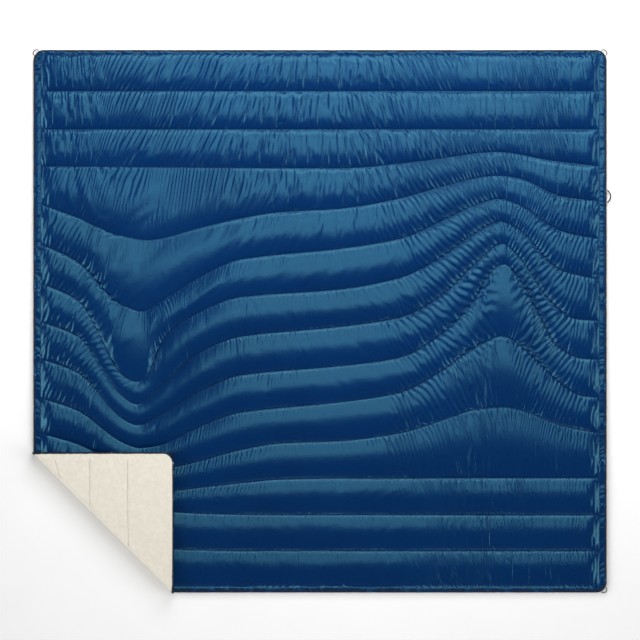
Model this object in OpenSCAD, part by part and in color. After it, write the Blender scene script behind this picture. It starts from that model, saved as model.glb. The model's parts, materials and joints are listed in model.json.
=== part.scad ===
// Quilted camp blanket with a pile back, one corner folded over onto the top.
// Millimetres. +Z is up, X runs across the blanket and Y from foot to head.
// The origin is the centre of the blanket on the surface that it lies on.
// Every layer is modelled flat. The corner's pieces are then turned half a turn about the fold.

/* [Blanket] */
// Width, across from side to side
width = 2134; // [2100:2:2200]
// Length, from foot to head
length = 2020; // [1980:2:2060]
// Radius of the rounded corners
corner_radius = 40; // [30:1:60]
// Leg of the triangular corner that is folded over
fold_leg = 524; // [480:2:560]

/* [Layers] */
// Height of a full channel above the floor
loft = 28; // [24:1:40]
// Thickness of the pile back, pressed by the blanket's weight
pile_thick = 8; // [6:1:9]
// Thickness of the outer shell with its fine puckers
shell_thick = 1; // [0.6:0.1:1.5]
// Thickness of the filling where it is stitched flat
pinched_fill = 1; // [0.6:0.1:2]

/* [Quilting] */
// Width of the valley that a row of stitches pulls into the top
valley_width = 10; // [8:1:16]
// Width of the groove under a row of stitches in the pile
groove_width = 6; // [4:1:10]
// Depth of that groove
groove_depth = 4; // [2:0.5:5]
// Width of the sewing thread's line
thread_width = 1.2; // [0.8:0.1:1.8]
// Height of the thread above what it is sewn to
thread_height = 0.8; // [0.5:0.1:1.2]

/* [Edge] */
// Width of the unfilled strip along each side edge
side_strip = 28; // [24:1:36]
// Width of the unfilled strip along the head and foot edges
end_strip = 17; // [15:1:24]
// Visible width of the binding tape
binding_width = 8; // [7:1:12]
// Thickness of the binding tape
tape_thick = 1; // [0.6:0.1:1.4]

/* [Loops] */
// Diameter of the corner loops' cord
corner_cord = 3.5; // [2.5:0.5:5]
// Distance between a corner loop's two ends
corner_chord = 25; // [20:1:34]
// How far a corner loop stands out from its ends
corner_reach = 10; // [9:1:16]
// Diameter of the side loop's cord
side_cord = 4.5; // [3:0.5:6]
// Distance between the side loop's two ends
side_chord = 45; // [36:1:60]
// How far the side loop stands out from its ends
side_reach = 12; // [11:1:20]
// Place of the side loop's middle along the right edge
side_loop_y = 465; // [380:5:520]

/* [Hidden] */

// Heights, from the floor up
bobbin_top = groove_depth;
fill_base = pile_thick;
fill_low = fill_base + pinched_fill;
stitch_level = fill_low + shell_thick;
tongue_base = groove_depth;
edge_middle = (tongue_base + stitch_level) / 2;

// Gaps between the folded corner and the rest
cut_gap = 0.4;
lay_gap = 0.4;
fold_level = loft + lay_gap / 2;
loop_gap = 0.4;

// The fold runs at 45 degrees across the foot's left corner
fold_start = [-width / 2, fold_leg - length / 2];
fold_axis = [1, -1, 0];
big = 3 * width;

// Rows of stitches, head to foot, as the points that each smooth line passes through
rows = [
    [[-1070, 855], [1070, 855]],
    [[-1070, 713], [1070, 713]],
    [[-1070, 576], [-600, 572], [75, 568], [400, 598], [658, 630], [860, 597], [1070, 572]],
    [[-1070, 446], [-895, 380], [-745, 316], [-633, 300], [-447, 345], [-298, 381], [-150, 405],
     [75, 418], [297, 456], [446, 498], [595, 535], [662, 541], [745, 530], [893, 465],
     [1070, 442]],
    [[-1070, 300], [-895, 216], [-745, 62], [-662, 36], [-596, 69], [-447, 162], [-298, 229],
     [75, 269], [297, 306], [446, 369], [595, 438], [666, 455], [745, 430], [893, 336],
     [1070, 299]],
    [[-1070, 152], [-895, 73], [-820, -52], [-745, -188], [-681, -226], [-650, -212],
     [-588, -75], [-447, 33], [-298, 89], [75, 118], [297, 161], [446, 234], [595, 338],
     [670, 371], [745, 338], [893, 190], [1070, 148]],
    [[-1070, 8], [-895, -60], [-820, -164], [-745, -271], [-681, -310], [-596, -246],
     [-447, -119], [-298, -58], [75, -21], [297, 13], [446, 90], [595, 230], [677, 289],
     [745, 235], [852, 79], [950, 8], [1070, -1]],
    [[-1070, -131], [-895, -194], [-745, -357], [-677, -388], [-596, -352], [-447, -263],
     [-298, -202], [75, -167], [297, -136], [471, -33], [583, 90], [640, 190], [688, 211],
     [748, 150], [829, -3], [881, -92], [978, -140], [1070, -144]],
    [[-1070, -277], [-895, -335], [-745, -447], [-670, -472], [-596, -462], [-447, -394],
     [-298, -340], [75, -302], [297, -267], [446, -190], [595, -86], [673, -58], [770, -111],
     [874, -215], [978, -278], [1070, -287]],
    [[-1070, -410], [-895, -460], [-745, -535], [-640, -557], [-536, -542], [-447, -521],
     [-298, -480], [-150, -455], [75, -446], [297, -417], [446, -372], [595, -327], [681, -321],
     [745, -331], [893, -387], [1070, -423]],
    [[-1070, -560], [-895, -605], [-740, -634], [-633, -639], [-447, -620], [-298, -603],
     [-150, -589], [75, -585], [1070, -584]],
    [[-1070, -697], [-850, -698], [-300, -720], [1070, -722]],
    [[-1070, -838], [-850, -839], [-300, -855], [1070, -855]],
];
steps_between_points = 4;

// ---- Smooth line through a row's points: a cubic with no overshoot at crests and valleys
function rise(points, i) =
    (points[i + 1][1] - points[i][1]) / (points[i + 1][0] - points[i][0]);
function tangent(points, i) =
    i == 0 ? rise(points, 0) :
    i == len(points) - 1 ? rise(points, i - 1) :
    rise(points, i - 1) * rise(points, i) <= 0 ? 0 :
    2 * rise(points, i - 1) * rise(points, i) / (rise(points, i - 1) + rise(points, i));
function between(points, i, t) =
    let (a = points[i], b = points[i + 1], h = b[0] - a[0])
    [a[0] + h * t,
     a[1] * (1 + 2 * t) * (1 - t) * (1 - t) + b[1] * t * t * (3 - 2 * t)
     + h * t * (1 - t) * (tangent(points, i) * (1 - t) - tangent(points, i + 1) * t)];
function line_of(points) =
    let (steps = len(points) == 2 ? 1 : steps_between_points)
    [for (i = [0:len(points) - 2], k = [0:steps - 1]) between(points, i, k / steps),
     points[len(points) - 1]];

// ---- Flat outlines
module outline(inset) {
    r = corner_radius - inset;
    x = width / 2 - corner_radius;
    y = length / 2 - corner_radius;
    square([2 * x, 2 * (y + r)], center = true);
    square([2 * (x + r), 2 * y], center = true);
    for (sx = [-1, 1], sy = [-1, 1]) translate([sx * x, sy * y]) circle(r, $fn = 64);
}

module field(inset = 0) {
    x = width - 2 * (side_strip + inset);
    y = length - 2 * (end_strip + inset);
    square([x, y], center = true);
}

// The flat part on one side of the fold: side is 1 for the blanket, -1 for the corner
module beside_fold(side) {
    translate(fold_start) rotate(-45)
        translate([-big / 2, side > 0 ? cut_gap / 2 : -cut_gap / 2 - big]) square([big, big]);
}

// A line of stitches as a ribbon that measures w square to the line
module ribbon(points, w) {
    line = line_of(points);
    n = len(line) - 1;
    half = [for (i = [0:n])
        let (a = line[max(i - 1, 0)], b = line[min(i + 1, n)], s = (b[1] - a[1]) / (b[0] - a[0]))
        w / 2 * sqrt(1 + s * s)];
    polygon([
        for (i = [0:n]) line[i] + [0, half[i]],
        for (i = [n:-1:0]) line[i] - [0, half[i]]
    ]);
}

module ribbons(w) {
    for (row = rows) ribbon(row, w);
}

// The perimeter's line of stitches, just outside the filled field
module perimeter(w) {
    difference() {
        field(-w);
        field();
    }
}

// ---- Layers of one side of the fold
module slab(bottom, top, side) {
    translate([0, 0, bottom]) linear_extrude(top - bottom)
        intersection() {
            children();
            beside_fold(side);
        }
}

module sherpa(side) {
    difference() {
        union() {
            slab(0, pile_thick, side) outline(binding_width);
            slab(tongue_base, pile_thick, side) outline(tape_thick);
        }
        slab(-1, groove_depth, side) intersection() {
            ribbons(groove_width);
            field();
        }
    }
}

module fill(side) {
    difference() {
        slab(fill_base, loft - shell_thick, side) outline(tape_thick);
        slab(fill_low, loft, side) difference() {
            outline(0);
            difference() {
                field(shell_thick);
                ribbons(valley_width + 2 * shell_thick);
            }
        }
    }
}

module shell(side) {
    difference() {
        slab(fill_low, loft, side) outline(tape_thick);
        slab(stitch_level, loft + 1, side) {
            difference() {
                outline(0);
                field();
            }
            intersection() {
                ribbons(valley_width);
                field(-1);
            }
        }
        slab(fill_low - 1, loft - shell_thick, side) difference() {
            field(shell_thick);
            ribbons(valley_width + 2 * shell_thick);
        }
    }
}

module binding(side) {
    difference() {
        slab(tongue_base - tape_thick, stitch_level + tape_thick, side) difference() {
            outline(0);
            outline(binding_width);
        }
        slab(tongue_base, stitch_level, side) outline(tape_thick);
    }
}

module tape_stitches(side) {
    inset = binding_width * 0.7;
    top = stitch_level + tape_thick;
    bottom = tongue_base - tape_thick;
    for (z = [top, bottom - thread_height])
        slab(z, z + thread_height, side) difference() {
            outline(inset - thread_width / 2);
            outline(inset + thread_width / 2);
        }
}

module row_thread(i, side) {
    slab(stitch_level, stitch_level + thread_height, side) intersection() {
        ribbon(rows[i], thread_width);
        field();
    }
}

module perimeter_thread(side) {
    slab(stitch_level, stitch_level + thread_height, side) perimeter(thread_width);
}

module bobbin_threads(side) {
    slab(bobbin_top - thread_height, bobbin_top, side) intersection() {
        ribbons(thread_width);
        field();
    }
}

// Turns a flat corner piece over onto the blanket
module folded() {
    pivot = [fold_start[0], fold_start[1], fold_level];
    translate(pivot) rotate(a = 180, v = fold_axis) translate(-pivot) children();
}

// ---- Loops: an arc of cord whose two ends lie on its hinge line
function arc_radius(chord, reach) = (chord * chord / 4 + reach * reach) / (2 * reach);
function arc_half(chord, reach) = atan2(chord / 2, arc_radius(chord, reach) - reach);
// Distance of a loop's hinge line from the edge that it stands on
function stand_off(cord) = cord / 2 + loop_gap;

// Drawn at the hinge line's middle and standing out along +X
module loop_cord(cord, chord, reach) {
    r = arc_radius(chord, reach);
    half = arc_half(chord, reach);
    translate([reach - r, 0, 0]) rotate(-half)
        rotate_extrude(angle = 2 * half, $fn = 96) translate([r, 0]) circle(cord / 2, $fn = 24);
}

module at_corner(sx, sy) {
    translate([sx * (width / 2 - corner_radius), sy * (length / 2 - corner_radius), edge_middle])
        rotate(atan2(sy, sx)) translate([corner_radius + stand_off(corner_cord), 0, 0]) children();
}

module at_side() {
    translate([width / 2 + stand_off(side_cord), side_loop_y, edge_middle]) children();
}

module corner_loop(sx, sy) {
    at_corner(sx, sy) loop_cord(corner_cord, corner_chord, corner_reach);
}

// The short ends of a corner loop's cord that stand out of the seam, square to the round edge
// and clear of the loop's own travel
module corner_tails(sx, sy) {
    lean = atan2(corner_chord / 2, corner_radius + stand_off(corner_cord));
    tip = (corner_radius - corner_cord / 2 * sin(lean)) / cos(lean);
    translate([sx * (width / 2 - corner_radius), sy * (length / 2 - corner_radius), edge_middle])
        for (turn = [-lean, lean]) rotate(atan2(sy, sx) + turn)
            translate([corner_radius, 0, 0]) rotate([0, 90, 0])
                cylinder(h = tip - corner_radius, d = corner_cord, $fn = 24);
}

// ---- Sub-parts of the blanket
module sherpa_back() { color("#e9e2d4") sherpa(1); }
module insulation() { color("#f6f6f2") fill(1); }
module face_shell() { color("#0b4a7d") shell(1); }
module edge_binding() { color("#0c1526") binding(1); }
module binding_stitching() { color("#141d33") tape_stitches(1); }
module edge_topstitch() { color("#12294a") perimeter_thread(1); }
module back_stitching() { color("#d8d0c0") bobbin_threads(1); }
module quilt_row(i) { color("#12294a") row_thread(i, 1); }
module loop_tails() {
    color("#10141c") {
        corner_tails(-1, 1);
        corner_tails(1, 1);
        corner_tails(1, -1);
    }
}

// ---- Sub-parts of the folded corner
module corner_sherpa() { color("#ece6d9") folded() sherpa(-1); }
module corner_insulation() { color("#f6f6f2") folded() fill(-1); }
module corner_shell() { color("#0d5288") folded() shell(-1); }
module corner_binding() { color("#0c1526") folded() binding(-1); }
module corner_binding_stitching() { color("#141d33") folded() tape_stitches(-1); }
module corner_topstitch() { color("#12294a") folded() perimeter_thread(-1); }
module corner_back_stitching() { color("#d8d0c0") folded() bobbin_threads(-1); }
module corner_row(i) { color("#12294a") folded() row_thread(i, -1); }
module corner_loop_tails() { color("#10141c") folded() corner_tails(-1, -1); }

// ---- Loops
module loop_head_left() { color("#151a22") corner_loop(-1, 1); }
module loop_head_right() { color("#151a22") corner_loop(1, 1); }
module loop_foot_right() { color("#151a22") corner_loop(1, -1); }
module loop_foot_left() { color("#151a22") folded() corner_loop(-1, -1); }
module loop_side() {
    color("#151a22") at_side() loop_cord(side_cord, side_chord, side_reach);
}

sherpa_back();
insulation();
face_shell();
edge_binding();
binding_stitching();
edge_topstitch();
back_stitching();
loop_tails();
quilt_row(0);  // quilt_row_01
quilt_row(1);  // quilt_row_02
quilt_row(2);  // quilt_row_03
quilt_row(3);  // quilt_row_04
quilt_row(4);  // quilt_row_05
quilt_row(5);  // quilt_row_06
quilt_row(6);  // quilt_row_07
quilt_row(7);  // quilt_row_08
quilt_row(8);  // quilt_row_09
quilt_row(9);  // quilt_row_10
quilt_row(10);  // quilt_row_11
quilt_row(11);  // quilt_row_12
quilt_row(12);  // quilt_row_13
corner_sherpa();
corner_insulation();
corner_shell();
corner_binding();
corner_binding_stitching();
corner_topstitch();
corner_back_stitching();
corner_row(10);  // corner_row_11
corner_row(11);  // corner_row_12
corner_row(12);  // corner_row_13
corner_loop_tails();
loop_head_left();
loop_head_right();
loop_foot_right();
loop_foot_left();
loop_side();
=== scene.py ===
import json
import math

import bmesh
import bpy
import numpy as np
from mathutils import Matrix, Vector


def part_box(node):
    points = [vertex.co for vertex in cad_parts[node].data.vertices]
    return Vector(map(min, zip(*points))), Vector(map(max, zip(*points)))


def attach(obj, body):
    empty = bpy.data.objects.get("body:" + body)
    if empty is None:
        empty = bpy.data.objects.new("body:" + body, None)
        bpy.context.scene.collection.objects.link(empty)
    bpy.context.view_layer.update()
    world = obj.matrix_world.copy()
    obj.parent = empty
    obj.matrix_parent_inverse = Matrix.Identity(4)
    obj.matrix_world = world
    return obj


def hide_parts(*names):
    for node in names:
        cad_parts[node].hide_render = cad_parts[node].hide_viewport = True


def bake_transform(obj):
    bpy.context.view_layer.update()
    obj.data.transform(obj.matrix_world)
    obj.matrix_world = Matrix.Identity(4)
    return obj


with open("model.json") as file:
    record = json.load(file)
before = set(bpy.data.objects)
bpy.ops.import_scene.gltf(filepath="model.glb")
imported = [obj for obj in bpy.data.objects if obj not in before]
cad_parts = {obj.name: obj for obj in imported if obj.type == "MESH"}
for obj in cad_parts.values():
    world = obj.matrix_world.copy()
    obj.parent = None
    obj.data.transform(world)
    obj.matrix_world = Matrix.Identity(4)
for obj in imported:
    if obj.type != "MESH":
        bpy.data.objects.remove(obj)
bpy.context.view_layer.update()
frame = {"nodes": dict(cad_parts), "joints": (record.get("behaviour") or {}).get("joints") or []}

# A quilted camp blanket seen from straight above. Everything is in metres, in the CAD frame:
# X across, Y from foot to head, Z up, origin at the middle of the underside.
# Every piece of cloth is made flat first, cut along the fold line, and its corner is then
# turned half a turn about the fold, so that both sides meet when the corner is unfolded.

rng = np.random.default_rng(11)


# ---- sizes from the CAD frame
tape_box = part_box("edge_binding")
HALF_W, HALF_L, TAPE_HIGH = tape_box[1]
TAPE_LOW = tape_box[0][2]
TOPSTITCH_W = 0.0012
FIELD_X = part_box("quilt_row_01")[1][0]          # the filled field ends at the side topstitch
FIELD_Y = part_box("edge_topstitch")[1][1] - TOPSTITCH_W
STITCH_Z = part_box("quilt_row_01")[0][2]         # height at which the shell is sewn down
GROOVE_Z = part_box("back_stitching")[1][2]       # depth of the stitching in the pile back
PILE_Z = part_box("sherpa_back")[1][2]
CORNER_R = 0.040
TAPE_W = 0.008
ROWS = 13

fold_joint = next(j for j in frame["joints"] if j["name"] == "corner_fold")
FOLD_POINT = np.array(fold_joint["pos_m"])
FOLD_ALONG = np.array(fold_joint["axis"])
FOLD_OUT = np.array([-1.0, -1.0, 0.0]) / math.sqrt(2)   # towards the blanket's cut corner
FOLD_Z = FOLD_POINT[2]
FOLD_END_X = 0.543        # the fold meets the foot edge this far left of the middle
CUT_LEG = HALF_W - FOLD_END_X


# ---- small tools
def smooth(t):
    """t from 0 to 1, eased at both ends."""
    return t * t * (3 - 2 * t)


def rise(value, start, width):
    """0 up to start and 1 from start + width on, with a smooth step in between."""
    return smooth(np.clip((value - start) / width, 0, 1))


def peak(value, width):
    """1 where value is 0, falling off on both sides over about width."""
    return np.exp(-(value / width) ** 2)


def noise_field(cell_x, cell_y=None):
    """A function of flat x and y: smooth random values, about -1 to 1, with bumps of that size."""
    extent = 2.6       # the table covers the whole blanket and repeats beyond that
    cell = np.array([cell_x, cell_y or cell_x])
    table = rng.standard_normal([int(np.ceil(extent / c)) + 2 for c in cell]) * 0.75
    rows, columns = table.shape

    def at(x, y):
        u, v = x / cell[0], y / cell[1]
        i, j = np.floor(u).astype(int), np.floor(v).astype(int)
        u, v = u - i, v - j
        u, v = smooth(u), smooth(v)
        i, j, i2, j2 = i % rows, j % columns, (i + 1) % rows, (j + 1) % columns
        near = table[i, j] * (1 - u) + table[i2, j] * u
        far = table[i, j2] * (1 - u) + table[i2, j2] * u
        return near * (1 - v) + far * v

    return at


def smoothed(values, passes):
    """values along a line, averaged with their neighbours."""
    for _ in range(passes):
        values = np.concatenate(
            [values[:1], (values[:-2] + 2 * values[1:-1] + values[2:]) / 4, values[-1:]]
        )
    return values


def new_mesh(name, points, faces):
    """A smooth-shaded object from points (n, 3) and quads (m, 4)."""
    mesh = bpy.data.meshes.new(name)
    mesh.vertices.add(len(points))
    mesh.vertices.foreach_set("co", np.asarray(points, np.float32).ravel())
    mesh.loops.add(faces.size)
    mesh.loops.foreach_set("vertex_index", faces.astype(np.int32).ravel())
    mesh.polygons.add(len(faces))
    mesh.polygons.foreach_set("loop_start", np.arange(0, faces.size, 4, dtype=np.int32))
    mesh.update(calc_edges=True)
    mesh.polygons.foreach_set("use_smooth", np.ones(len(mesh.polygons), bool))
    obj = bpy.data.objects.new(name, mesh)
    bpy.context.scene.collection.objects.link(obj)
    return obj


def grid_faces(rows, columns, wrap_rows=False, wrap_columns=False):
    """Quads over a grid of points stored row by row."""
    r = np.arange(rows if wrap_rows else rows - 1)
    c = np.arange(columns if wrap_columns else columns - 1)
    r, c = np.meshgrid(r, c, indexing="ij")
    r2, c2 = (r + 1) % rows, (c + 1) % columns
    return np.stack([r * columns + c, r2 * columns + c, r2 * columns + c2, r * columns + c2],
                    axis=-1).reshape(-1, 4)


def beside_fold(points):
    """Distance of points (n, 3) past the fold line, towards the cut corner."""
    return (points - FOLD_POINT) @ FOLD_OUT


def turned_over(points):
    """points turned half a turn about the fold line."""
    away = points - FOLD_POINT
    return FOLD_POINT + 2 * np.outer(away @ FOLD_ALONG, FOLD_ALONG) - away


def take_part(obj, name, sign, capped=False):
    """A copy of obj with only what lies on one side of the fold: 1 is the corner's side."""
    mesh = obj.data.copy()
    bm = bmesh.new()
    bm.from_mesh(mesh)
    geometry = bm.verts[:] + bm.edges[:] + bm.faces[:]
    cut = bmesh.ops.bisect_plane(bm, geom=geometry, dist=1e-6, plane_co=FOLD_POINT,
                                 plane_no=FOLD_OUT, clear_outer=sign < 0, clear_inner=sign > 0)
    if capped:
        edges = [e for e in cut["geom_cut"] if isinstance(e, bmesh.types.BMEdge)]
        bmesh.ops.holes_fill(bm, edges=edges)
    bm.to_mesh(mesh)
    bm.free()
    part = bpy.data.objects.new(name, mesh)
    bpy.context.scene.collection.objects.link(part)
    if sign > 0:
        mesh.transform(turn_matrix())
    return part


def turn_matrix():
    """Half a turn about the fold line."""
    to = Matrix.Translation(Vector(FOLD_POINT))
    return to @ Matrix.Rotation(math.pi, 4, Vector(FOLD_ALONG)) @ to.inverted()


def finished(obj, body, material, nodes=()):
    """Gives a piece its body, its material and the CAD nodes that it stands for."""
    obj.data.materials.append(material)
    if body:
        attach(obj, body)
    if nodes:
        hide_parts(*nodes)
    return obj


def cut_and_fold(obj, names, material, nodes=(), corner_nodes=(), capped=False):
    """Splits flat cloth at the fold, folds its corner over and gives both parts their bodies."""
    parts = [take_part(obj, names[0], -1, capped), take_part(obj, names[1], 1, capped)]
    finished(parts[0], "blanket", material, nodes)
    finished(parts[1], "corner_flap", material, corner_nodes)
    bpy.data.objects.remove(obj)
    return parts


# ---- camera
def make_camera():
    """Straight above, far enough away that the view has almost no perspective."""
    height = 20.0
    field = 2.3830        # metres across the picture
    data = bpy.data.cameras.new("camera")
    data.sensor_width = 36.0
    data.lens = data.sensor_width * height / field
    data.clip_end = 100.0
    camera = bpy.data.objects.new("camera", data)
    camera.location = (0.0, 0.0047, height)
    bpy.context.scene.collection.objects.link(camera)
    bpy.context.scene.camera = camera


make_camera()


# ---- materials
class Surface:
    """A material under construction: a Principled shader and helpers that add nodes to it."""

    def __init__(self, name, **values):
        self.material = bpy.data.materials.new(name)
        self.material.use_nodes = True
        self.nodes = self.material.node_tree.nodes
        self.links = self.material.node_tree.links
        self.shader = self.nodes["Principled BSDF"]
        for key, value in values.items():
            self.shader.inputs[key.replace("_", " ")].default_value = value
        self.place = self.nodes.new("ShaderNodeTexCoord").outputs["Object"]
        self.bump = None

    def texture(self, kind, output, **values):
        """A texture's output, in object coordinates, with its sockets set from values."""
        node = self.nodes.new(kind)
        for key, value in values.items():
            node.inputs[key].default_value = value
        self.links.new(self.place, node.inputs["Vector"])
        return node.outputs[output]

    def noise(self, scale, detail=2.0, rough=0.5):
        return self.texture("ShaderNodeTexNoise", "Fac", Scale=scale, Detail=detail,
                            Roughness=rough)

    def cells(self, scale):
        return self.texture("ShaderNodeTexVoronoi", "Distance", Scale=scale)

    def strands(self, scale):
        """Diagonal bands, as of twisted thread."""
        output = self.texture("ShaderNodeTexWave", "Fac", Scale=scale)
        output.node.bands_direction = "DIAGONAL"
        return output

    def ramp(self, value, stops):
        """value from 0 to 1 as a colour, from stops of (position, colour)."""
        node = self.nodes.new("ShaderNodeValToRGB")
        ramp = node.color_ramp
        while len(ramp.elements) < len(stops):
            ramp.elements.new(0.5)
        for element, (position, colour) in zip(ramp.elements, stops):
            element.position = position
            element.color = (*colour, 1.0)
        self.links.new(value, node.inputs["Fac"])
        return node.outputs["Color"]

    def spread(self, value, low, high):
        """value from 0 to 1 mapped to low to high."""
        node = self.nodes.new("ShaderNodeMapRange")
        node.inputs["To Min"].default_value = low
        node.inputs["To Max"].default_value = high
        self.links.new(value, node.inputs["Value"])
        return node.outputs["Result"]

    def colour(self, output):
        """The surface takes its colour from output."""
        self.links.new(output, self.shader.inputs["Base Color"])

    def rough(self, output):
        """The surface takes its roughness from output."""
        self.links.new(output, self.shader.inputs["Roughness"])

    def raise_by(self, height, distance, strength=1.0):
        """Adds a layer of relief that is distance metres deep."""
        node = self.nodes.new("ShaderNodeBump")
        node.inputs["Distance"].default_value = distance
        node.inputs["Strength"].default_value = strength
        self.links.new(height, node.inputs["Height"])
        if self.bump:
            self.links.new(self.bump, node.inputs["Normal"])
        self.bump = node.outputs["Normal"]
        self.links.new(self.bump, self.shader.inputs["Normal"])


def nylon():
    """Thin glossy ripstop: deep blue, with a fine weave and small crinkles."""
    s = Surface("nylon", Roughness=0.28, Specular_IOR_Level=0.62,
                Specular_Tint=(0.21, 0.76, 0.92, 1.0))
    s.colour(s.ramp(s.noise(3.0, 4.0), [
        (0.3, (0.0001, 0.0150, 0.082)),
        (0.7, (0.0002, 0.0190, 0.096)),
    ]))
    s.rough(s.spread(s.noise(45.0, 3.0), 0.23, 0.34))
    s.raise_by(s.noise(95.0, 3.0, 0.55), 0.0006, 0.45)
    s.raise_by(s.noise(1400.0, 1.0), 0.00006, 0.4)
    return s.material


def pile():
    """Cream sherpa: dense matt curls."""
    s = Surface("sherpa pile", Roughness=0.95, Specular_IOR_Level=0.15,
                Sheen_Weight=0.25, Sheen_Roughness=0.6)
    s.colour(s.ramp(s.noise(60.0, 5.0, 0.6), [
        (0.25, (0.71, 0.662, 0.56)),
        (0.75, (0.795, 0.757, 0.671)),
    ]))
    s.raise_by(s.cells(210.0), 0.0022, 0.5)
    s.raise_by(s.noise(520.0, 4.0, 0.7), 0.0012, 0.6)
    return s.material


def wadding():
    """White polyester wadding, inside the blanket."""
    s = Surface("polyester wadding", Roughness=0.9)
    s.colour(s.ramp(s.noise(40.0, 5.0), [(0.3, (0.83, 0.83, 0.80)), (0.7, (0.93, 0.93, 0.91))]))
    s.raise_by(s.noise(160.0, 6.0, 0.7), 0.002)
    return s.material


def tape():
    """Woven binding tape, nearly black navy."""
    s = Surface("binding tape", Roughness=0.62, Specular_IOR_Level=0.3)
    s.colour(s.ramp(s.noise(120.0, 3.0), [(0.3, (0.0012, 0.0040, 0.0105)),
                                          (0.7, (0.0028, 0.0085, 0.0200))]))
    s.raise_by(s.cells(1100.0), 0.0002, 0.6)
    return s.material


def thread(name, dark, light):
    """Twisted sewing thread."""
    s = Surface(name, Roughness=0.5)
    s.colour(s.ramp(s.noise(900.0, 2.0), [(0.3, dark), (0.7, light)]))
    s.raise_by(s.strands(900.0), 0.0001, 0.5)
    return s.material


def braid():
    """Braided cord, nearly black."""
    s = Surface("braided cord", Roughness=0.85, Specular_IOR_Level=0.2)
    s.colour(s.ramp(s.cells(700.0), [(0.1, (0.007, 0.009, 0.014)), (0.6, (0.002, 0.003, 0.005))]))
    s.raise_by(s.cells(700.0), 0.0004, 0.8)
    return s.material


NYLON = nylon()
PILE = pile()
WADDING = wadding()
TAPE = tape()
BLUE_THREAD = thread("blue thread", (0.0008, 0.010, 0.040), (0.0025, 0.022, 0.075))
DARK_THREAD = thread("dark thread", (0.0012, 0.0040, 0.012), (0.0035, 0.0100, 0.026))
# Painted shade: this cream thread is made much darker than the real cream thread, so that the
# stitching grooves in the pile back show a shaded line.
CREAM_THREAD_PAINTED_SHADE = thread("cream thread darkened as painted groove shade", (0.30, 0.27, 0.23), (0.42, 0.38, 0.33))
BRAID = braid()


# ---- rows of quilting
def vertices(node):
    """A CAD node's vertices, (n, 3)."""
    mesh = frame["nodes"][node].data
    out = np.zeros(len(mesh.vertices) * 3, np.float32)
    mesh.vertices.foreach_get("co", out)
    return out.reshape(-1, 3).astype(float)


def row_points(index):
    """The middle of a row's thread at each of its stations, from its CAD nodes."""
    least_width = 0.0009       # a station has both sides of the thread, at least this far apart
    clouds = [vertices(f"quilt_row_{index:02d}")]
    if f"corner_row_{index:02d}" in frame["nodes"]:
        clouds.append(turned_over(vertices(f"corner_row_{index:02d}")))
    found = {}
    for cloud in clouds:
        for x, y, _ in cloud:
            found.setdefault(round(x, 4), []).append(y)
    both = {x: ys for x, ys in found.items() if max(ys) - min(ys) > least_width}
    x = np.array(sorted(both))
    return x, np.array([(max(both[k]) + min(both[k])) / 2 for k in x])


FINE_X = np.linspace(-HALF_W, HALF_W, 2001)


def row_line(index):
    """A row's height across the whole blanket, at FINE_X, with its CAD corners rounded off."""
    return smoothed(np.interp(FINE_X, *row_points(index)), 60)


row_lines = [row_line(i + 1) for i in range(ROWS)]


def row_y(index, x):
    """A row's y at x. The first row, next to the head, has index 0."""
    return np.interp(x, FINE_X, row_lines[index])


# ---- cloth solver
KEPT_SPEED = 0.85      # share of a point's speed that is left after a step
SHEAR = 0.6            # strength of the diagonal links, next to 1 along the edges
PASSES = 2             # times that all links are pulled to length in a step


def links(rows, columns):
    """Pairs of grid slices that join neighbours, in sets that share no point."""
    s = slice
    out = []
    for odd in (0, 1):
        n = (columns - odd) // 2
        near, far = s(odd, odd + 2 * n - 1, 2), s(odd + 1, odd + 2 * n, 2)
        out.append(("edge", (s(None), near), (s(None), far)))
        n = (rows - odd) // 2
        near, far = s(odd, odd + 2 * n - 1, 2), s(odd + 1, odd + 2 * n, 2)
        out.append(("edge", (near, s(None)), (far, s(None))))
        out.append(("shear", (near, s(0, columns - 1)), (far, s(1, columns))))
        out.append(("shear", (near, s(1, columns)), (far, s(0, columns - 1))))
    return out


def settle(start, free, metric, rest_height, steps, bend, support, push):
    """Position-based cloth on a grid (3, rows, columns).

    free is 0 where the cloth is sewn down and 1 elsewhere. metric holds the cloth's own xx, xy
    and yy terms, so each link's rest length is the length that it has in the uncrumpled cloth.
    rest_height is where the filling holds the cloth, and support is how firmly. bend evens out
    the height, and push is how firmly a link resists being shortened.
    """
    place = start.astype(np.float32)
    before = place.copy()
    free = free.astype(np.float32)
    rest_height = rest_height.astype(np.float32)
    flat = place[:2].copy()
    every = slice(None)
    sets = []
    for kind, near, far in links(*free.shape):
        d = flat[(every, *far)] - flat[(every, *near)]
        xx, xy, yy = ((m[near] + m[far]) / 2 for m in metric)
        rest = np.sqrt(np.maximum(xx * d[0] ** 2 + 2 * xy * d[0] * d[1] + yy * d[1] ** 2, 1e-10))
        give = np.maximum(free[near] + free[far], 1e-6)
        pull, shove = (1.0, push) if kind == "edge" else (SHEAR, SHEAR * push)
        sets.append(((every, *near), (every, *far), rest.astype(np.float32),
                     free[near] / give, free[far] / give, pull, shove))
    for _ in range(steps):
        speed = (place - before) * KEPT_SPEED
        before = place.copy()
        place += speed * free
        place[2] += support * (rest_height - place[2]) * free
        for _ in range(PASSES):
            for near, far, rest, give_near, give_far, pull, shove in sets:
                a, b = place[near], place[far]
                d = b - a
                length = np.sqrt((d * d).sum(0))
                error = (length - rest) / length
                error *= np.where(error > 0, pull, shove)
                a += d * (error * give_near)
                b -= d * (error * give_far)
        spread = np.zeros_like(place[2])
        spread[:, 1:-1] += place[2, :, :-2] + place[2, :, 2:] - 2 * place[2, :, 1:-1]
        spread[1:-1] += place[2, :-2] + place[2, 2:] - 2 * place[2, 1:-1]
        place[2] += bend * spread * free
    return place


# ---- the puffed shell
CHANNEL_ROWS = 26      # rows of points across one channel
COLUMNS = 700          # columns of points across the field, closest where the rows are steep


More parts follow.
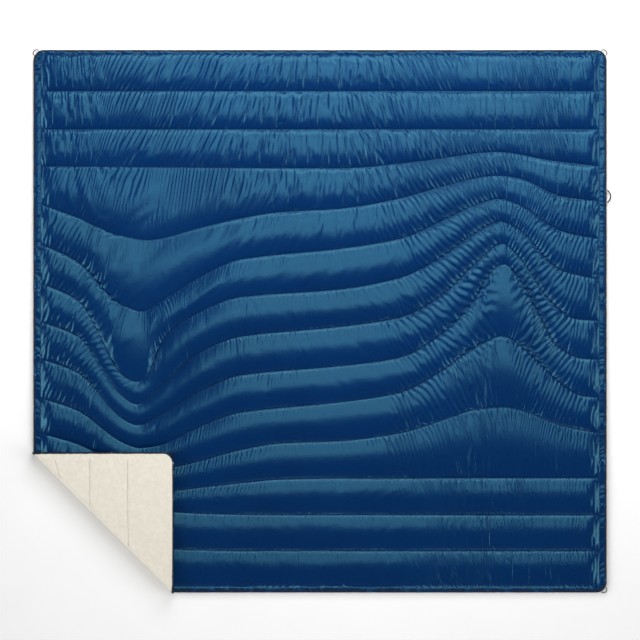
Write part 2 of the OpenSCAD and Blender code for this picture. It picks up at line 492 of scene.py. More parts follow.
def channel_grid(count, channel_rows, half_w, half_l, uneven=0.55):
    """x, y, slope, share and width on a grid whose rows follow the quilting.

    share runs from 0 to 1 across a channel, and width is the channel's own width in y. uneven
    says how much closer the points are beside the rows, from 0 to 1.
    """
    crowding = 3.0         # how much closer the columns are where the rows are steep
    even_x = np.linspace(-half_w, half_w, 1001)
    steepness = np.mean([np.gradient(row_y(i, even_x), even_x) ** 2
                         for i in range(3, ROWS - 3)], axis=0)
    run = np.cumsum(np.sqrt(1 + crowding * smoothed(steepness, 60)))
    xs = np.interp(np.linspace(run[0], run[-1], count + 1), run, even_x)
    lines = [np.full_like(xs, half_l)]
    lines += [row_y(i, xs) for i in range(ROWS)]
    lines += [np.full_like(xs, -half_l)]
    even = np.arange(channel_rows) / channel_rows
    across = (1 - uneven) * even + uneven * (0.5 - 0.5 * np.cos(math.pi * even))
    ys, slopes, share, width = [], [], [], []
    for upper, lower in zip(lines, lines[1:]):
        for t in across:
            ys.append(upper * (1 - t) + lower * t)
            slopes.append(np.gradient(ys[-1], xs))
            share.append(np.full_like(xs, t))
            width.append(upper - lower)
    ys.append(lines[-1])
    slopes.append(np.zeros_like(xs))
    share.append(np.zeros_like(xs))
    width.append(width[-1])
    y = np.array(ys)
    return (np.broadcast_to(xs, y.shape).copy(), y, np.array(slopes), np.array(share),
            np.array(width))


def puffed_height(x, slope, share, width):
    """Where the filling holds the shell: a rounded ridge along each channel, closed at its ends."""
    most, most_of_width, end_length = 0.0180, 0.14, 0.05
    across = width / np.sqrt(1 + slope ** 2)
    height = np.minimum(most, most_of_width * across)
    to_end = np.clip((FIELD_X - np.abs(x)) / end_length, 0, 1)
    ends = np.sin(math.pi / 2 * to_end) ** 0.9
    return STITCH_Z + height * np.sin(math.pi * share) ** 0.72 * ends


# sets of slanting hollows: noise cell across them, noise cell along them, and the noise value
# at which they fade out
HOLLOWS = [(0.060, 0.16, 0.16), (0.034, 0.11, 0.24), (0.021, 0.08, 0.34)]
HOLLOW_DEPTH = 0.0030
SWELL_HEIGHT = 0.0022
PUCKER_HEIGHT = 0.0030
JAGGED_HEIGHT = 0.0020


def creases(along, x, y, share, width, slope):
    """What the shell's folds add to the filling's height.

    Slanting hollows cross the channels, most in the rows near the head. Puckers fan out from
    the rows' ends, and small jagged folds stand below each row.
    """
    across = along - 0.95 * leaning(x) * y
    head = rise(y, 0.20, 0.35)
    middle = 1 - rise(x, 0.25, 0.30)
    hollows = np.zeros_like(x)
    for cell, run, fade in HOLLOWS:
        line = noise_field(cell, run)(across, y)
        where = np.clip(0.25 + noise_field(0.075, 0.055)(across, y), 0, 1.3)
        hollows += where * peak(line, fade)
    inner = rise(FIELD_X - 0.008 - np.abs(x), 0, 0.06)
    fan = noise_field(0.010, 0.030)(along, y + 0.6 * (FIELD_X - np.abs(x)))
    by_end = peak(FIELD_X - np.abs(x) - 0.018, 0.016)
    by_row = peak(np.minimum(share, 1 - share) * width, 0.03)
    pucker = by_end * (0.5 + 0.5 * by_row)
    below_row = peak(share * width, 0.020)
    jagged = below_row * np.clip(noise_field(0.006, 0.012)(along, y), 0, 1.5) * inner
    swell = noise_field(0.075, 0.12)(across, y) + 0.6 * noise_field(0.035, 0.08)(across, y)
    amount = (0.35 + 0.65 * head) * (0.25 + 0.75 * middle) * inner
    room = np.clip(width / np.sqrt(1 + slope ** 2) / 0.10, 0, 1) ** 2
    arch = np.sin(math.pi * share) ** 0.5
    folds = amount * room * arch * (SWELL_HEIGHT * swell - HOLLOW_DEPTH * hollows)
    return folds + arch * (PUCKER_HEIGHT * pucker * fan + JAGGED_HEIGHT * jagged)


# how much longer the shell is than the place it has, as a share of its length
GATHER = 0.014            # along the rows, everywhere
GATHER_SEAM = 0.030       # more beside a row
GATHER_HEAD = 0.036
GATHER_LEFT = 0.034
GATHER_RIGHT = 0.052
SLACK = 0.006             # square to the rows
SKEW = 0.032              # askew, so that the folds lean
SKEW_HEAD = 0.065


def cloth_metric(x, y, slope, share, width, height):
    """The uncrumpled shell: the puffed surface, plus what the stitching has gathered."""
    zy = np.gradient(height, axis=0) / np.gradient(y, axis=0)
    zx = (np.gradient(height, axis=1) - zy * np.gradient(y, axis=1)) / np.gradient(x, axis=1)
    near_seam = 1 - 2 * np.minimum(share, 1 - share)
    right = rise(x, 0.30, 0.35)
    left = rise(-x, 0.78, 0.20)
    head = rise(y, 0.35, 0.30)
    patches = 1 + 0.8 * noise_field(0.16)(x, y) + 0.5 * noise_field(0.06)(x, y)
    patches = np.clip(patches, 0.05, 2.6)
    gather = (GATHER + GATHER_SEAM * near_seam + GATHER_HEAD * head + GATHER_LEFT * left) * patches
    gather = gather + GATHER_RIGHT * right * np.clip(patches, 0.8, 1.6)
    uneven = np.clip(1 + 0.9 * noise_field(0.15)(x, y), 0, 2.2)
    skew = -(SKEW + SKEW_HEAD * head) * leaning(x) * uneven
    along = np.stack([np.ones_like(slope), slope]) / np.sqrt(1 + slope ** 2)
    square = np.stack([-along[1], along[0]])
    xx = 1 + zx ** 2 + 2 * gather * along[0] ** 2 + 2 * SLACK * square[0] ** 2
    yy = 1 + zy ** 2 + 2 * gather * along[1] ** 2 + 2 * SLACK * square[1] ** 2
    xy = zx * zy + 2 * gather * along[0] * along[1] + 2 * SLACK * square[0] * square[1]
    xx = xx + 2 * skew * along[0] * square[0]
    yy = yy + 2 * skew * along[1] * square[1]
    xy = xy + skew * (along[0] * square[1] + along[1] * square[0])
    return xx, xy, yy


def leaning(x):
    """How the folds lean: 1 to the right on the left half, -1 to the left on the right half.

    At the middle and at both sides they stand straight.
    """
    upright_sides = rise(0.98 - np.abs(x), 0, 0.20)
    return np.clip(-x / 0.45, -1, 1) * upright_sides


def row_drift(x):
    """How far the middle row lies from a straight one at x."""
    middle_row = row_lines[ROWS // 2]
    return np.interp(x, FINE_X, middle_row - middle_row.mean())


SEED_HEIGHT = 0.0012       # height of the noise that the folds grow from
BEND = 0.009               # stiffness of the cloth in the middle
BEND_LESS = 0.006          # how much softer it is on the right and at the left edge
SHELL_CLEARANCE = 0.0018   # least height of the shell above the pile back


def quilted_shell():
    """(the settled shell's points, the smooth height of the filling), both on the same grid."""
    x, y, slope, share, width = channel_grid(COLUMNS, CHANNEL_ROWS, FIELD_X, FIELD_Y)
    height = puffed_height(x, slope, share, width)
    free = (share > 0).astype(float)
    free[:, 0] = free[:, -1] = 0
    along = np.cumsum(np.sqrt(1 + slope ** 2) * np.gradient(x, axis=1), axis=1) - FIELD_X
    height = height + creases(along, x, y, share, width, slope) * free
    depth = y + 0.35 * row_drift(x)
    fine = rise(x, 0.20, 0.35)
    slanted = along - 0.8 * leaning(x) * y
    fine_folds = (0.8 * noise_field(0.0065, 0.040)(along, depth)
                  + noise_field(0.012, 0.060)(along, depth))
    broad_folds = (0.9 * noise_field(0.016, 0.050)(slanted, depth)
                   + 1.5 * noise_field(0.034, 0.080)(slanted, depth))
    seeds = fine * fine_folds + (1 - fine) * broad_folds
    start = np.stack([x, y, height + SEED_HEIGHT * seeds * free])
    metric = cloth_metric(x, y, slope, share, width, height)
    steps = 260
    crisp = np.maximum(fine, rise(-x, 0.70, 0.25))
    bend = BEND - BEND_LESS * crisp
    settled = settle(start, free, metric, height, steps, bend=bend.astype(np.float32),
                     support=0.012, push=0.8)
    settled = settled.astype(float)
    settled[2] = np.maximum(settled[2], PILE_Z + SHELL_CLEARANCE)
    return settled, np.stack([x, y, height])


def under_corner(points):
    """How far a place is under the folded corner: 1 well inside, 0 outside."""
    beyond, width = 0.02, 0.03
    tip = turned_over(np.array([[-HALF_W, -HALF_L, 0.0]]))[0]
    inside = np.minimum(tip[0] + beyond - points[0], tip[1] + beyond - points[1]) / width
    return np.clip(inside, 0, 1)


def pressed(points):
    """points with the puffs under the folded corner, and in it, kept below the fold's level."""
    z = points[2]
    low = FOLD_Z - 0.0050      # up to here the puffs keep their height
    room = 0.0044              # and none stands more than this above it
    limited = low + room * np.tanh((z - low) / room)
    mix = under_corner(points)
    out = points.copy()
    out[2] = np.where(z > low, z * (1 - mix) + limited * mix, z)
    return out


# ---- outlines
def outline(inset_x, inset_y, radius, step):
    """Points (n, 3) round the blanket's edge, with the same n for every inset and radius."""
    hx, hy = HALF_W - inset_x, HALF_L - inset_y
    straight_x = np.linspace(-1, 1, int(2 * HALF_W / step), endpoint=False) * (hx - radius)
    straight_y = np.linspace(-1, 1, int(2 * HALF_L / step), endpoint=False) * (hy - radius)
    turn = np.linspace(0, math.pi / 2, int(CORNER_R * 1.6 / step), endpoint=False)
    out = []
    for quarter in range(4):
        long, short, run = ((hx, hy, straight_x) if quarter % 2 == 0 else (hy, hx, straight_y))
        side = np.stack([run, np.full_like(run, -short)], axis=1)
        arc = np.stack([long - radius + radius * np.sin(turn),
                        -short + radius - radius * np.cos(turn)], axis=1)
        points = np.concatenate([side, arc])
        angle = quarter * math.pi / 2
        c, s = round(math.cos(angle)), round(math.sin(angle))
        out.append(points @ np.array([[c, s], [-s, c]]))
    flat = np.concatenate(out)
    return np.column_stack([flat, np.zeros(len(flat))])


def corner_lift(points):
    """How much the folded corner's free edges sag, away from its tip and from the fold."""
    most, strip = 0.010, 0.060
    past = rise(beside_fold(points), 0.02, 0.12)
    edge = np.minimum(points[:, 0] + HALF_W, points[:, 1] + HALF_L)
    near = smooth(np.clip(1 - edge / strip, 0, 1))
    tip = np.hypot(points[:, 0] + HALF_W, points[:, 1] + HALF_L)
    return most * past * near * rise(tip, 0.060, 0.10)


def sagged(points):
    """Flat points (n, 3), lifted where the corner sags once it is folded over."""
    out = np.array(points, float)
    out[:, 2] += corner_lift(out)
    return out


def rows_of_points(points):
    """(3, rows, columns) as (rows * columns, 3)."""
    return points.reshape(3, -1).T


# ---- shell
settled, filling = quilted_shell()
settled = pressed(settled)
filling = pressed(filling)

field = new_mesh("flat_shell", sagged(rows_of_points(settled)), grid_faces(*settled.shape[1:]))
shell, corner_shell = cut_and_fold(
    field, ("shell_field", "corner_shell_field"), NYLON, ["face_shell"], ["corner_shell"])


def hem_strip():
    """The unfilled strip of shell between the topstitch and the binding, finely puckered."""
    step = 0.0018
    tucked = 0.0012                  # the strip starts this far inside the topstitch
    hidden = 0.0035                  # and ends under the tape, this far inside the edge
    ripple_cell, swell_cell, patch_cell, patches = 0.0065, 0.021, 0.024, 400
    inner = outline(HALF_W - FIELD_X + tucked, HALF_L - FIELD_Y + tucked, 0.008, step)
    outer = outline(hidden, hidden, CORNER_R - hidden, step)
    gap = np.hypot(*(outer - inner)[:, :2].T)
    height = np.minimum(0.0030, 0.16 * gap)
    across = np.linspace(0, 1, 13)
    along = np.arange(len(inner)) * step
    lean = 0.016 * noise_field(0.12)(inner[:, 0], inner[:, 1])
    fine = rng.standard_normal(int(along[-1] / ripple_cell) + 4)
    fine *= np.interp(np.arange(len(fine)) * ripple_cell, np.arange(patches) * patch_cell,
                      np.abs(rng.standard_normal(patches)))
    broad = rng.standard_normal(int(along[-1] / swell_cell) + 4)
    loops = []
    for u in across:
        place = inner * (1 - u) + outer * u
        s = along + lean * u
        ripple = smoothed(np.interp(s, np.arange(len(fine)) * ripple_cell, fine), 2)
        swell = smoothed(np.interp(s, np.arange(len(broad)) * swell_cell, broad), 4)
        arch = math.sin(math.pi * u) ** 0.7
        place[:, 2] = (STITCH_Z - 0.0006) * (1 - u) + (TAPE_HIGH - 0.0012) * u
        place[:, 2] += arch * (height * (0.7 + 0.5 * swell) + 0.0012 * ripple)
        loops.append(place)
    return new_mesh("flat_hem", sagged(np.concatenate(loops)),
                    grid_faces(len(across), len(inner), wrap_columns=True))


hem, corner_hem = cut_and_fold(hem_strip(), ("shell_hem", "corner_shell_hem"), NYLON)


# ---- filling
def lowest_nearby(z, reach):
    """The lowest value within reach samples of each one of a grid."""
    for axis in (0, 1):
        padded = np.pad(z, [(reach, reach) if k == axis else (0, 0) for k in (0, 1)], "edge")
        z = np.min([np.take(padded, np.arange(z.shape[axis]) + k, axis=axis)
                    for k in range(2 * reach + 1)], axis=0)
    return z


def wadding_body():
    """The filling: closed, puffed between the shell and the pile back."""
    clearance, thinnest, coarser = 0.0010, 0.0004, 3
    top = filling.copy()
    top[2] = np.minimum(lowest_nearby(settled[2], 4), top[2]) - clearance
    top = top[:, ::coarser, ::coarser]
    top[2] = np.maximum(top[2], PILE_Z + thinnest)
    bottom = top.copy()
    bottom[2] = PILE_Z
    rows, columns = top.shape[1:]
    count = rows * columns
    upper, lower = rows_of_points(top), rows_of_points(bottom)
    faces = grid_faces(rows, columns)
    rim = np.concatenate([
        np.arange(columns), np.arange(1, rows) * columns + columns - 1,
        (rows - 1) * columns + np.arange(columns - 2, -1, -1),
        np.arange(rows - 2, 0, -1) * columns,
    ])
    after = np.roll(rim, -1)
    walls = np.stack([rim, after, after + count, rim + count], axis=1)
    return new_mesh("flat_filling", sagged(np.concatenate([upper, lower])),
                    np.concatenate([faces, faces[:, ::-1] + count, walls]))


insulation, corner_insulation = cut_and_fold(
    wadding_body(), ("filling", "corner_filling"), WADDING,
    ["insulation"], ["corner_insulation"], capped=True)


# ---- pile back
# curls and, wider, unevenness of the pile: noise and its height
lumps = [(noise_field(0.0065), 0.00055), (noise_field(0.013), 0.00045),
         (noise_field(0.11), 0.00050), (noise_field(0.30), 0.00060)]
PILE_DEPTH = 0.0013    # mean height of the underside's curls above the floor
GROOVE_W = 0.0050
ROLL_BACK = 0.024      # the fold's curve starts this far behind the fold line
ROLL_REACH = 0.0275    # and is this wide in all
ROLL_POWER = 3.0


def roll_height(distance):
    """Height of the pile back near the fold, where it begins to curve up and round."""
    share = np.clip((distance + ROLL_BACK) / ROLL_REACH, 0, 0.999)
    return FOLD_Z * (1 - (1 - share ** ROLL_POWER) ** (1 / ROLL_POWER))


def pile_height(x, y, from_row):
    """The underside's height: curls of pile, grooves at the stitching, a curve at the fold."""
    z = PILE_DEPTH + sum(size * noise(x, y) for noise, size in lumps)
    z = np.maximum(z, 0.0001)
    groove = peak(from_row, GROOVE_W)
    in_field = (np.abs(x) < FIELD_X) & (np.abs(y) < FIELD_Y)
    z = z * (1 - groove * in_field) + GROOVE_Z * groove * in_field
    points = np.stack([x.ravel(), y.ravel(), np.zeros(x.size)], axis=1)
    past = beside_fold(points).reshape(x.shape)
    return z + roll_height(-np.abs(past))


def rounded(x, y):
    """Points of a rectangle moved so that its corners are round."""
    cx, cy = HALF_W - CORNER_R, HALF_L - CORNER_R
    p = np.clip((np.abs(x) - cx) / CORNER_R, 0, None)
    q = np.clip((np.abs(y) - cy) / CORNER_R, 0, None)
    inside = (p > 0) & (q > 0)
    px = np.where(inside, p * np.sqrt(1 - np.clip(q, 0, 1) ** 2 / 2), p)
    qy = np.where(inside, q * np.sqrt(1 - np.clip(p, 0, 1) ** 2 / 2), q)
    return (np.where(p > 0, np.sign(x) * (cx + CORNER_R * px), x),
            np.where(q > 0, np.sign(y) * (cy + CORNER_R * qy), y))


def pile_sheet(columns, channel_rows, uneven):
    """The whole pile back, flat: its underside, turned up round the edge into the binding."""
    x, y, slope, share, width = channel_grid(columns, channel_rows, HALF_W, HALF_L, uneven)
    from_row = np.minimum(share, 1 - share) * width / np.sqrt(1 + slope ** 2)
    channel = np.arange(len(share)) // channel_rows
    first, last = (channel == 0)[:, None], (channel >= ROWS)[:, None]
    # the outermost channels have a row on one side only
    far_share = np.where(first, 1 - share, share)
    from_row = np.where(first | last, far_share * width, from_row)
    x, y = rounded(x, y)
    inset = edge_distance(x, y)
    inside_edge = 0.0016
    pull = np.clip(1 - inside_edge / np.maximum(np.hypot(x, y), 1e-6), 0, 1)
    z = pile_height(x, y, from_row)
    tuck_start, tuck_width = 0.0064, 0.0026
    tucked = np.clip((tuck_start - inset) / tuck_width, 0, 1)
    z = z * (1 - tucked) + (TAPE_LOW + 0.0012) * tucked
    return np.stack([x * pull, y * pull, z])


def edge_distance(x, y):
    """Distance inside the rounded outline."""
    cx, cy = HALF_W - CORNER_R, HALF_L - CORNER_R
    p, q = np.abs(x) - cx, np.abs(y) - cy
    return np.where((p > 0) & (q > 0), CORNER_R - np.hypot(p, q),
                    CORNER_R - np.maximum(p, q))


def pile_back():
    """The main back from a coarse grid and the folded corner from a fine one."""
    coarse = pile_sheet(320, 22, 0.5)
    fine = pile_sheet(800, 48, 0.3)
    near = fine[1].min(axis=1) < FOLD_POINT[1] + CUT_LEG / 2 + 0.02
    left = fine[0].min(axis=0) < FOLD_POINT[0] + CUT_LEG / 2 + 0.02
    fine = fine[:, near][:, :, left]
    for name, grid in (("flat_pile", coarse), ("flat_corner_pile", fine)):
        yield new_mesh(name, sagged(rows_of_points(grid)), grid_faces(*grid.shape[1:])[:, ::-1])


flat_pile, flat_corner_pile = pile_back()
sherpa = finished(take_part(flat_pile, "pile_back", -1), "blanket", PILE,
                  ["sherpa_back"])
corner_sherpa = finished(take_part(flat_corner_pile, "corner_pile_back", 1), "corner_flap", PILE,
                         ["corner_sherpa"])
bpy.data.objects.remove(flat_pile)
bpy.data.objects.remove(flat_corner_pile)


# ---- round the fold
FOLD_HALF = CUT_LEG / math.sqrt(2)
FOLD_GAP = 0.03        # share of the section, at each end, that has points
GAP_ROWS = 7           # rows of points there


def fold_section(v, grow=0.0):
    """(outward, height) of the roll at v from 0, under the blanket, to 1, on the corner."""
    start = ROLL_BACK / ROLL_REACH
    first = math.atan2((1 - start ** ROLL_POWER) ** (1 / ROLL_POWER), start)
    angle = -first + 2 * first * v
    c, s = np.cos(angle), np.sin(angle)
    size = (np.abs(c) ** ROLL_POWER + np.abs(s) ** ROLL_POWER) ** (-1 / ROLL_POWER)
    return (-ROLL_BACK + (ROLL_REACH + grow) * size * c, FOLD_Z + (FOLD_Z + grow) * size * s)


def fold_scallop(along):
    """How far the roll draws in where rows of stitches cross it."""
    x = FOLD_POINT[0] + FOLD_ALONG[0] * along
    y = FOLD_POINT[1] + FOLD_ALONG[1] * along
    drawn = np.zeros_like(along)
    for index in range(ROWS):
        off = (y - row_y(index, x)) * FOLD_ALONG[0]
        drawn += peak(off, 0.012)
    return drawn


def fold_roll(name, first, last, columns, grow, material, pile):
    """A strip that goes round the fold, from under the blanket to the top of the corner.

    The middle of its section has no points. They would lie on the hinge's line at half a turn,
    above the shell, while the strip without them crosses below the stitching.
    """
    along = np.linspace(first, last, columns)
    v = np.concatenate([np.linspace(0, FOLD_GAP, GAP_ROWS),
                        np.linspace(1 - FOLD_GAP, 1, GAP_ROWS)])
    out, height = fold_section(v, grow)
    out += 0.0030 * np.minimum(v, 1 - v) / FOLD_GAP
    drawn = fold_scallop(along)
    wave = 0.0010 * np.interp(along, np.linspace(-0.4, 0.4, 41), rng.standard_normal(41))
    points = []
    for o, z, t in zip(out, height, v):
        bulge = math.sin(math.pi * t)
        offset = o + bulge * (wave - 0.0028 * drawn)
        place = FOLD_POINT + np.outer(along, FOLD_ALONG) + np.outer(offset, FOLD_OUT)
        if pile:
            lump = 0.0006 * rng.standard_normal(columns) * min(1.0, 6 * bulge)
            place += np.outer(smoothed(lump, 1), FOLD_OUT)
        place[:, 2] = z
        points.append(place)
    obj = new_mesh(name, np.concatenate(points), grid_faces(len(v), columns)[:, ::-1])
    finished(obj, None, material)
    foot, top = FOLD_POINT.copy(), FOLD_POINT.copy()
    foot[2], top[2] = height[GAP_ROWS - 1], height[GAP_ROWS]
    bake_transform(obj)
    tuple(foot)
    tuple(top)
    return obj


roll = fold_roll("fold_roll", -FOLD_HALF, FOLD_HALF, 300, 0.0, PILE, True)
for name, first, last in (("fold_tape_side", -FOLD_HALF - 0.0006, -FOLD_HALF + 0.0105),
                          ("fold_tape_foot", FOLD_HALF - 0.0105, FOLD_HALF + 0.0006)):
    fold_roll(name, first, last, 6, 0.0010, TAPE, False)


# ---- binding
def binding():
    """Tape folded over the edge, swept round the outline."""
    # the tape's section: distance inside the edge and height, outside first, then inside
    section = [
        (TAPE_W, 0.0096), (TAPE_W, 0.0105), (0.0072, 0.0110), (0.0045, 0.01115),
        (0.0020, 0.0107), (0.0006, 0.0094), (0.0000, 0.0070), (0.0006, 0.0046),
        (0.0020, 0.0033), (0.0045, 0.00285), (0.0072, 0.0030), (TAPE_W, 0.0035),
        (TAPE_W, 0.0044), (0.0050, 0.0046), (0.0024, 0.0070), (0.0050, 0.0094),
    ]
    step, small = 0.0036, 0.001
    loops = []
    count = len(outline(0, 0, CORNER_R, step))
    wander = smoothed(rng.standard_normal(count), 6) * 0.0006
    tilt = smoothed(rng.standard_normal(count), 3) * 0.0006
    for inset, z in section:
        loop = outline(inset, inset, CORNER_R - inset, step)
        outward = loop - outline(inset + small, inset + small, CORNER_R - inset - small, step)
        loop += outward / small * (-np.abs(wander))[:, None]
        loop[:, 2] = z + tilt * (inset / TAPE_W) + 0.3 * wander
        loops.append(loop)
    return new_mesh("flat_binding", sagged(np.concatenate(loops)),
                    grid_faces(len(section), count, wrap_rows=True, wrap_columns=True))


cut_and_fold(binding(), ("binding_tape", "corner_binding_tape"), TAPE,
             ["edge_binding"], ["corner_binding"], capped=True)


# ---- stitches
def stitches(line, pitch, length, half_width, half_height, sides=6, closed=False):
    """Points, faces and middles of separate stitches along a line of points (n, 3).

    A stitch is three rings of points, the outer two smaller and sunk into the cloth.
    """
    if closed:
        line = np.concatenate([line, line[:1]])
    run = np.concatenate([[0], np.cumsum(np.linalg.norm(np.diff(line, axis=0), axis=1))])
    middles = np.arange(pitch / 2, run[-1] - pitch / 2, pitch)

    def at(s):
        return np.stack([np.interp(s, run, line[:, k]) for k in range(3)], axis=1)

    ends = at(middles - length / 2), at(middles + length / 2)
    middle = at(middles)
    direction = ends[1] - ends[0]
    direction /= np.linalg.norm(direction, axis=1)[:, None]
    sideways = np.stack([-direction[:, 1], direction[:, 0], np.zeros(len(middles))], axis=1)
    up = np.array([0, 0, 1.0])
    angles = np.arange(sides) * 2 * math.pi / sides
    rings = []
    for place, size, sink in ((ends[0], 0.55, 0.4), (middle, 1.0, 0.0), (ends[1], 0.55, 0.4)):
        for a in angles:
            rings.append(place + sideways * (half_width * size * math.cos(a))
                         + up * (half_height * (size * math.sin(a) - sink)))
    points = np.stack(rings, axis=1).reshape(-1, 3)
    k = np.arange(sides)
    k2 = (k + 1) % sides
    one = [np.stack([r * sides + k, r * sides + k2, (r + 1) * sides + k2, (r + 1) * sides + k],
                    axis=1) for r in range(2)]
    caps = np.array([[j, sides - 1 - j, sides - 2 - j, j + 1] for j in range(sides // 2 - 1)])
    one += [caps, caps[:, ::-1] + 2 * sides]
    one = np.concatenate(one)
    shift = np.arange(len(middles)) * 3 * sides
    faces = (one[None] + shift[:, None, None]).reshape(-1, 4)
    return points, faces, middle


def sewn(lines, names, material, slot, nodes, corner_nodes, **sizes):
    """Rows of stitches as one piece each side of the fold. lines is a list of (line, closed)."""
    clear = 0.002       # no stitch's middle is nearer to the fold
    sides = sizes.get("sides", 6)
    sets = {1: [], -1: []}
    for line, closed in lines:
        points, faces, middles = stitches(line, closed=closed, **sizes)
        past = beside_fold(middles)
        for sign in sets:
            chosen = np.flatnonzero(past * sign > clear)
            if len(chosen):
                sets[sign].append(points.reshape(-1, 3 * sides, 3)[chosen])
    per = len(faces) // len(middles)
    for sign, name, body, replaced in ((-1, names[0], "blanket", nodes),
                                       (1, names[1], "corner_flap", corner_nodes)):
        if not name or not sets[sign]:
            continue
        blocks = np.concatenate(sets[sign])
        shift = np.arange(len(blocks)) * 3 * sides
        quads = (faces[:per][None] + shift[:, None, None]).reshape(-1, 4)
        places = sagged(blocks.reshape(-1, 3))
        if sign > 0:
            places = turned_over(places)
        finished(new_mesh(name, places, quads), body, material, replaced)


def row_path(index, z):
    """A row's line across the filled field, and that it isn't closed."""
    x = np.linspace(-FIELD_X, FIELD_X, 900)
    return np.stack([x, row_y(index, x), np.full_like(x, z)], axis=1), False


def outline_path(inset_x, inset_y, radius, z):
    """A line round the blanket, and that it is closed."""
    line = outline(inset_x, inset_y, radius, 0.004)
    line[:, 2] = z
    return line, True


SHELL_STITCH = dict(pitch=0.0042, length=0.0036, half_width=0.0006, half_height=0.0005)
BACK_STITCH = dict(pitch=0.0060, length=0.0050, half_width=0.0007, half_height=0.0005, sides=4)
TAPE_STITCH = dict(pitch=0.0042, length=0.0034, half_width=0.0006, half_height=0.0005)

for index in range(ROWS):
    number = f"{index + 1:02d}"
    in_corner = f"corner_row_{number}" in frame["nodes"]
    sewn([row_path(index, STITCH_Z + 0.0002)],
         (f"stitches_{number}", f"corner_stitches_{number}" if in_corner else None),
         BLUE_THREAD, "blue_thread", [f"quilt_row_{number}"],
         [f"corner_row_{number}"] if in_corner else (), **SHELL_STITCH)
sewn([row_path(index, GROOVE_Z - 0.0003) for index in range(ROWS)],
     ("back_stitches", "corner_back_stitches"), CREAM_THREAD_PAINTED_SHADE, "cream_thread",
     ["back_stitching"], ["corner_back_stitching"], **BACK_STITCH)
sewn([outline_path(HALF_W - FIELD_X - 0.0004, HALF_L - FIELD_Y - 0.0004, 0.006, STITCH_Z + 0.0004)],
     ("topstitches", "corner_topstitches"), BLUE_THREAD, "blue_thread",
     ["edge_topstitch"], ["corner_topstitch"], **SHELL_STITCH)
tape_line = 0.0056         # the binding's stitches run this far inside the edge, on both faces
sewn([outline_path(tape_line, tape_line, CORNER_R - tape_line, z)
      for z in (TAPE_HIGH + 0.0002, TAPE_LOW - 0.0002)],
     ("binding_stitches", "corner_binding_stitches"), DARK_THREAD, "dark_thread",
     ["binding_stitching"], ["corner_binding_stitching"], **TAPE_STITCH)


# ---- loops
def loop_arc(node, chord, reach):
    """Middle line of a loop's arc in the floor's plane, with its hinge and outward direction."""
    joint = next(j for j in frame["joints"] if j["name"] == loop_body(node) + "_lift")
    hinge = np.array(joint["pos_m"], float)
    low, high = (np.array(v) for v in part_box(node))
    outward = (low + high) / 2 - hinge
    outward[2] = 0
    outward /= np.linalg.norm(outward)
    sideways = np.array([-outward[1], outward[0], 0.0])
    radius = (chord ** 2 / 4 + reach ** 2) / (2 * reach)
    half = math.asin(chord / 2 / radius)
    centre = hinge + outward * (reach - radius)
    angles = np.linspace(-half, half, 49)
    path = centre + radius * (np.outer(np.cos(angles), outward)
                              + np.outer(np.sin(angles), sideways))
    return path, hinge, outward


def loop_body(node):
    """The name of a loop's body."""
    return node.replace("loop_", "", 1) + "_loop"


def braided_tube(name, path, diameter, sides=16):
    """A round braided cord along a path, with the braid's strands in its surface."""
    tangent = np.gradient(path, axis=0)
    tangent /= np.linalg.norm(tangent, axis=1)[:, None]
    up = np.array([0.0, 0.0, 1.0])
    side = np.cross(tangent, up)
    run = np.concatenate([[0], np.cumsum(np.linalg.norm(np.diff(path, axis=0), axis=1))])
    angles = np.arange(sides) * 2 * math.pi / sides
    points = []
    for place, s, distance in zip(path, side, run):
        for a in angles:
            twist = distance * 1500
            strand = math.cos(4 * a + twist) * math.cos(4 * a - twist)
            radius = diameter / 2 * (0.97 + 0.045 * strand)
            points.append(place + radius * (math.cos(a) * s + math.sin(a) * up))
    return new_mesh(name, points, grid_faces(len(path), sides, wrap_columns=True))


def make_loop(node, owner, chord, reach, cord, length):
    """A loop of cord along a flat arc that bulges out from its hinge."""
    path, hinge, outward = loop_arc(node, chord, reach)
    fine = np.stack([np.interp(np.linspace(0, 1, 120), np.linspace(0, 1, len(path)), path[:, k])
                     for k in range(3)], axis=1)
    obj = braided_tube(node + "_cord", fine, cord)
    finished(obj, None, BRAID, [node])
    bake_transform(obj)
    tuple(hinge)


CORNER_LOOP = dict(chord=0.025, reach=0.010, cord=0.0035, length=0.0346)
SIDE_LOOP = dict(chord=0.045, reach=0.012, cord=0.0045, length=0.0530)
make_loop("loop_head_left", "blanket", **CORNER_LOOP)
make_loop("loop_head_right", "blanket", **CORNER_LOOP)
make_loop("loop_foot_right", "blanket", **CORNER_LOOP)
make_loop("loop_foot_left", "corner_flap", **CORNER_LOOP)
make_loop("loop_side", "blanket", **SIDE_LOOP)
for node in ("loop_tails", "corner_loop_tails"):
    mesh = frame["nodes"][node].data
    mesh.materials.clear()
    mesh.materials.append(BRAID)


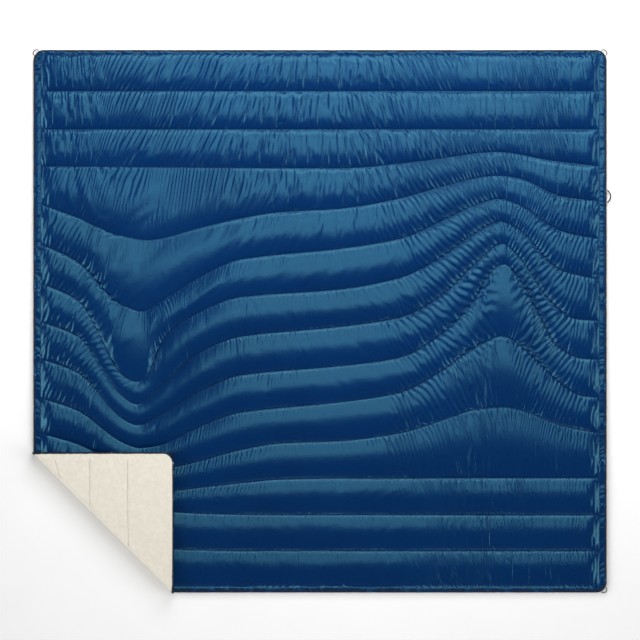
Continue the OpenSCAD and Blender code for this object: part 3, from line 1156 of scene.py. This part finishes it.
# ---- stage, light
def make_stage():
    """A plain pale floor, just under the blanket."""
    bpy.ops.mesh.primitive_plane_add(size=30, location=(0, 0, -0.0005))
    floor = bpy.context.object
    floor.name = "floor"
    s = Surface("pale floor", Roughness=0.9, Specular_IOR_Level=0.1)
    s.colour(s.ramp(s.noise(4.0), [(0.3, (0.93, 0.93, 0.93)), (0.7, (0.95, 0.95, 0.95))]))
    floor.data.materials.append(s.material)


def area_light(name, place, aim, size, power, spread=180):
    """A soft rectangular light at place, aimed at aim. spread is its beam's angle in degrees."""
    data = bpy.data.lights.new(name, "AREA")
    data.shape = "RECTANGLE"
    data.size, data.size_y = size
    data.energy = power
    data.spread = math.radians(spread)
    light = bpy.data.objects.new(name, data)
    light.location = place
    light.visible_camera = False
    light.rotation_euler = (Vector(aim) - Vector(place)).to_track_quat("-Z", "Y").to_euler()
    bpy.context.scene.collection.objects.link(light)


def broad_light(name, source, strength):
    """Even light over the whole floor from the direction of source, as from a large window."""
    data = bpy.data.lights.new(name, "SUN")
    data.energy = strength
    data.angle = math.radians(40)
    light = bpy.data.objects.new(name, data)
    light.rotation_euler = (-Vector(source)).to_track_quat("-Z", "Y").to_euler()
    bpy.context.scene.collection.objects.link(light)


def make_lights():
    """Soft lights beyond the head, above it and beyond the foot, and even light from the sides."""
    area_light("head_low", (0.4, 2.6, 1.6), (0.1, 0.1, 0.0), (3.6, 0.9), 62.0)
    area_light("head_high", (0.3, 2.05, 2.6), (0.1, 0.5, 0.0), (3.0, 0.9), 20.0)
    area_light("head_wide", (0.2, 1.12, 3.0), (0.2, 1.05, 0.0), (2.5, 2.0), 17.5, spread=105)
    broad_light("left", (-2.2, -0.4, 1.0), 1.98)
    broad_light("right", (2.2, -0.4, 1.0), 1.52)
    area_light("foot", (0.0, -5.2, 1.2), (0.0, 0.0, 0.0), (5.0, 0.8), 80.0)
    world = bpy.data.worlds.new("world")
    world.use_nodes = True
    background = world.node_tree.nodes["Background"]
    background.inputs["Color"].default_value = (1.0, 1.0, 1.0, 1.0)
    background.inputs["Strength"].default_value = 0.13
    bpy.context.scene.world = world


make_stage()
make_lights()
bpy.context.scene.view_settings.view_transform = "Standard"
